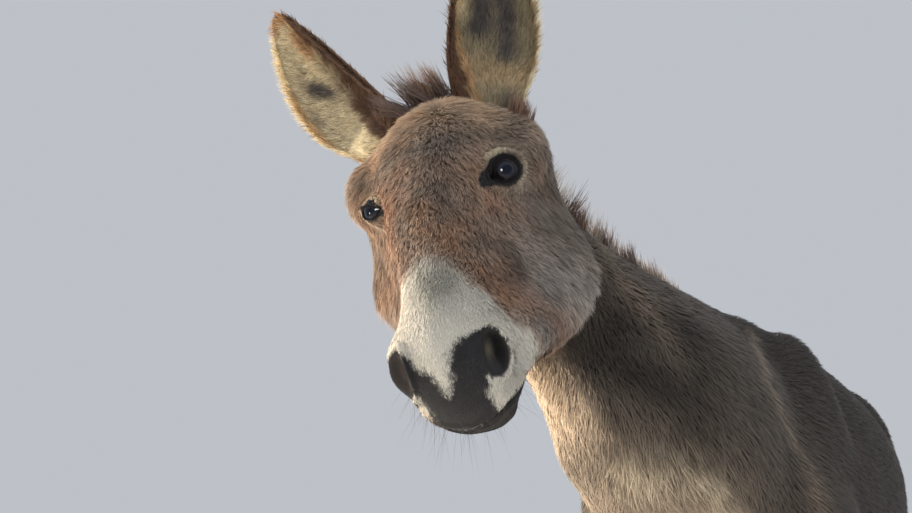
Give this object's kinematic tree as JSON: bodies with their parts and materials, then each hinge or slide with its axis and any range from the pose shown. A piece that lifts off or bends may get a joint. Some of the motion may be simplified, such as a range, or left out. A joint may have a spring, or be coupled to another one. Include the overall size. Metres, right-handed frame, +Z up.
{
  "type": "donkey",
  "caption": "Life-size standing donkey with a thick winter coat, its head lowered and turned, long ears, pale muzzle and small upright hooves.",
  "frame": {"origin": "on the ground, under the middle of the whole figure's bounding box", "axes": "+Z up, the body faces -Y, the animal's left side is +X"},
  "size_m": [0.5898, 1.5254, 1.4197],
  "materials": {
    "coat": "grizzled grey-brown winter coat, pale at the muzzle, belly and inside the legs",
    "ear_coat": "cream hair inside, dark brown backs and rims",
    "long_hair": "coarse brown mane, forelock and tail hair",
    "eye": "wet, very dark brown",
    "hoof": "dark horn, worn matt"
  },
  "bodies": {
    "root": {"ear_left": "ear_coat", "ear_right": "ear_coat", "eye_left": "eye", "eye_right": "eye", "foreleg_left": "coat", "foreleg_right": "coat", "forelock": "long_hair", "head": "coat", "hindleg_left": "coat", "hindleg_right": "coat", "hoof_fore_left": "hoof", "hoof_fore_right": "hoof", "hoof_hind_left": "hoof", "hoof_hind_right": "hoof", "mane": "long_hair", "neck": "coat", "tail": "coat", "tail_tuft": "long_hair", "trunk": "coat"}
  },
  "joints": []
}
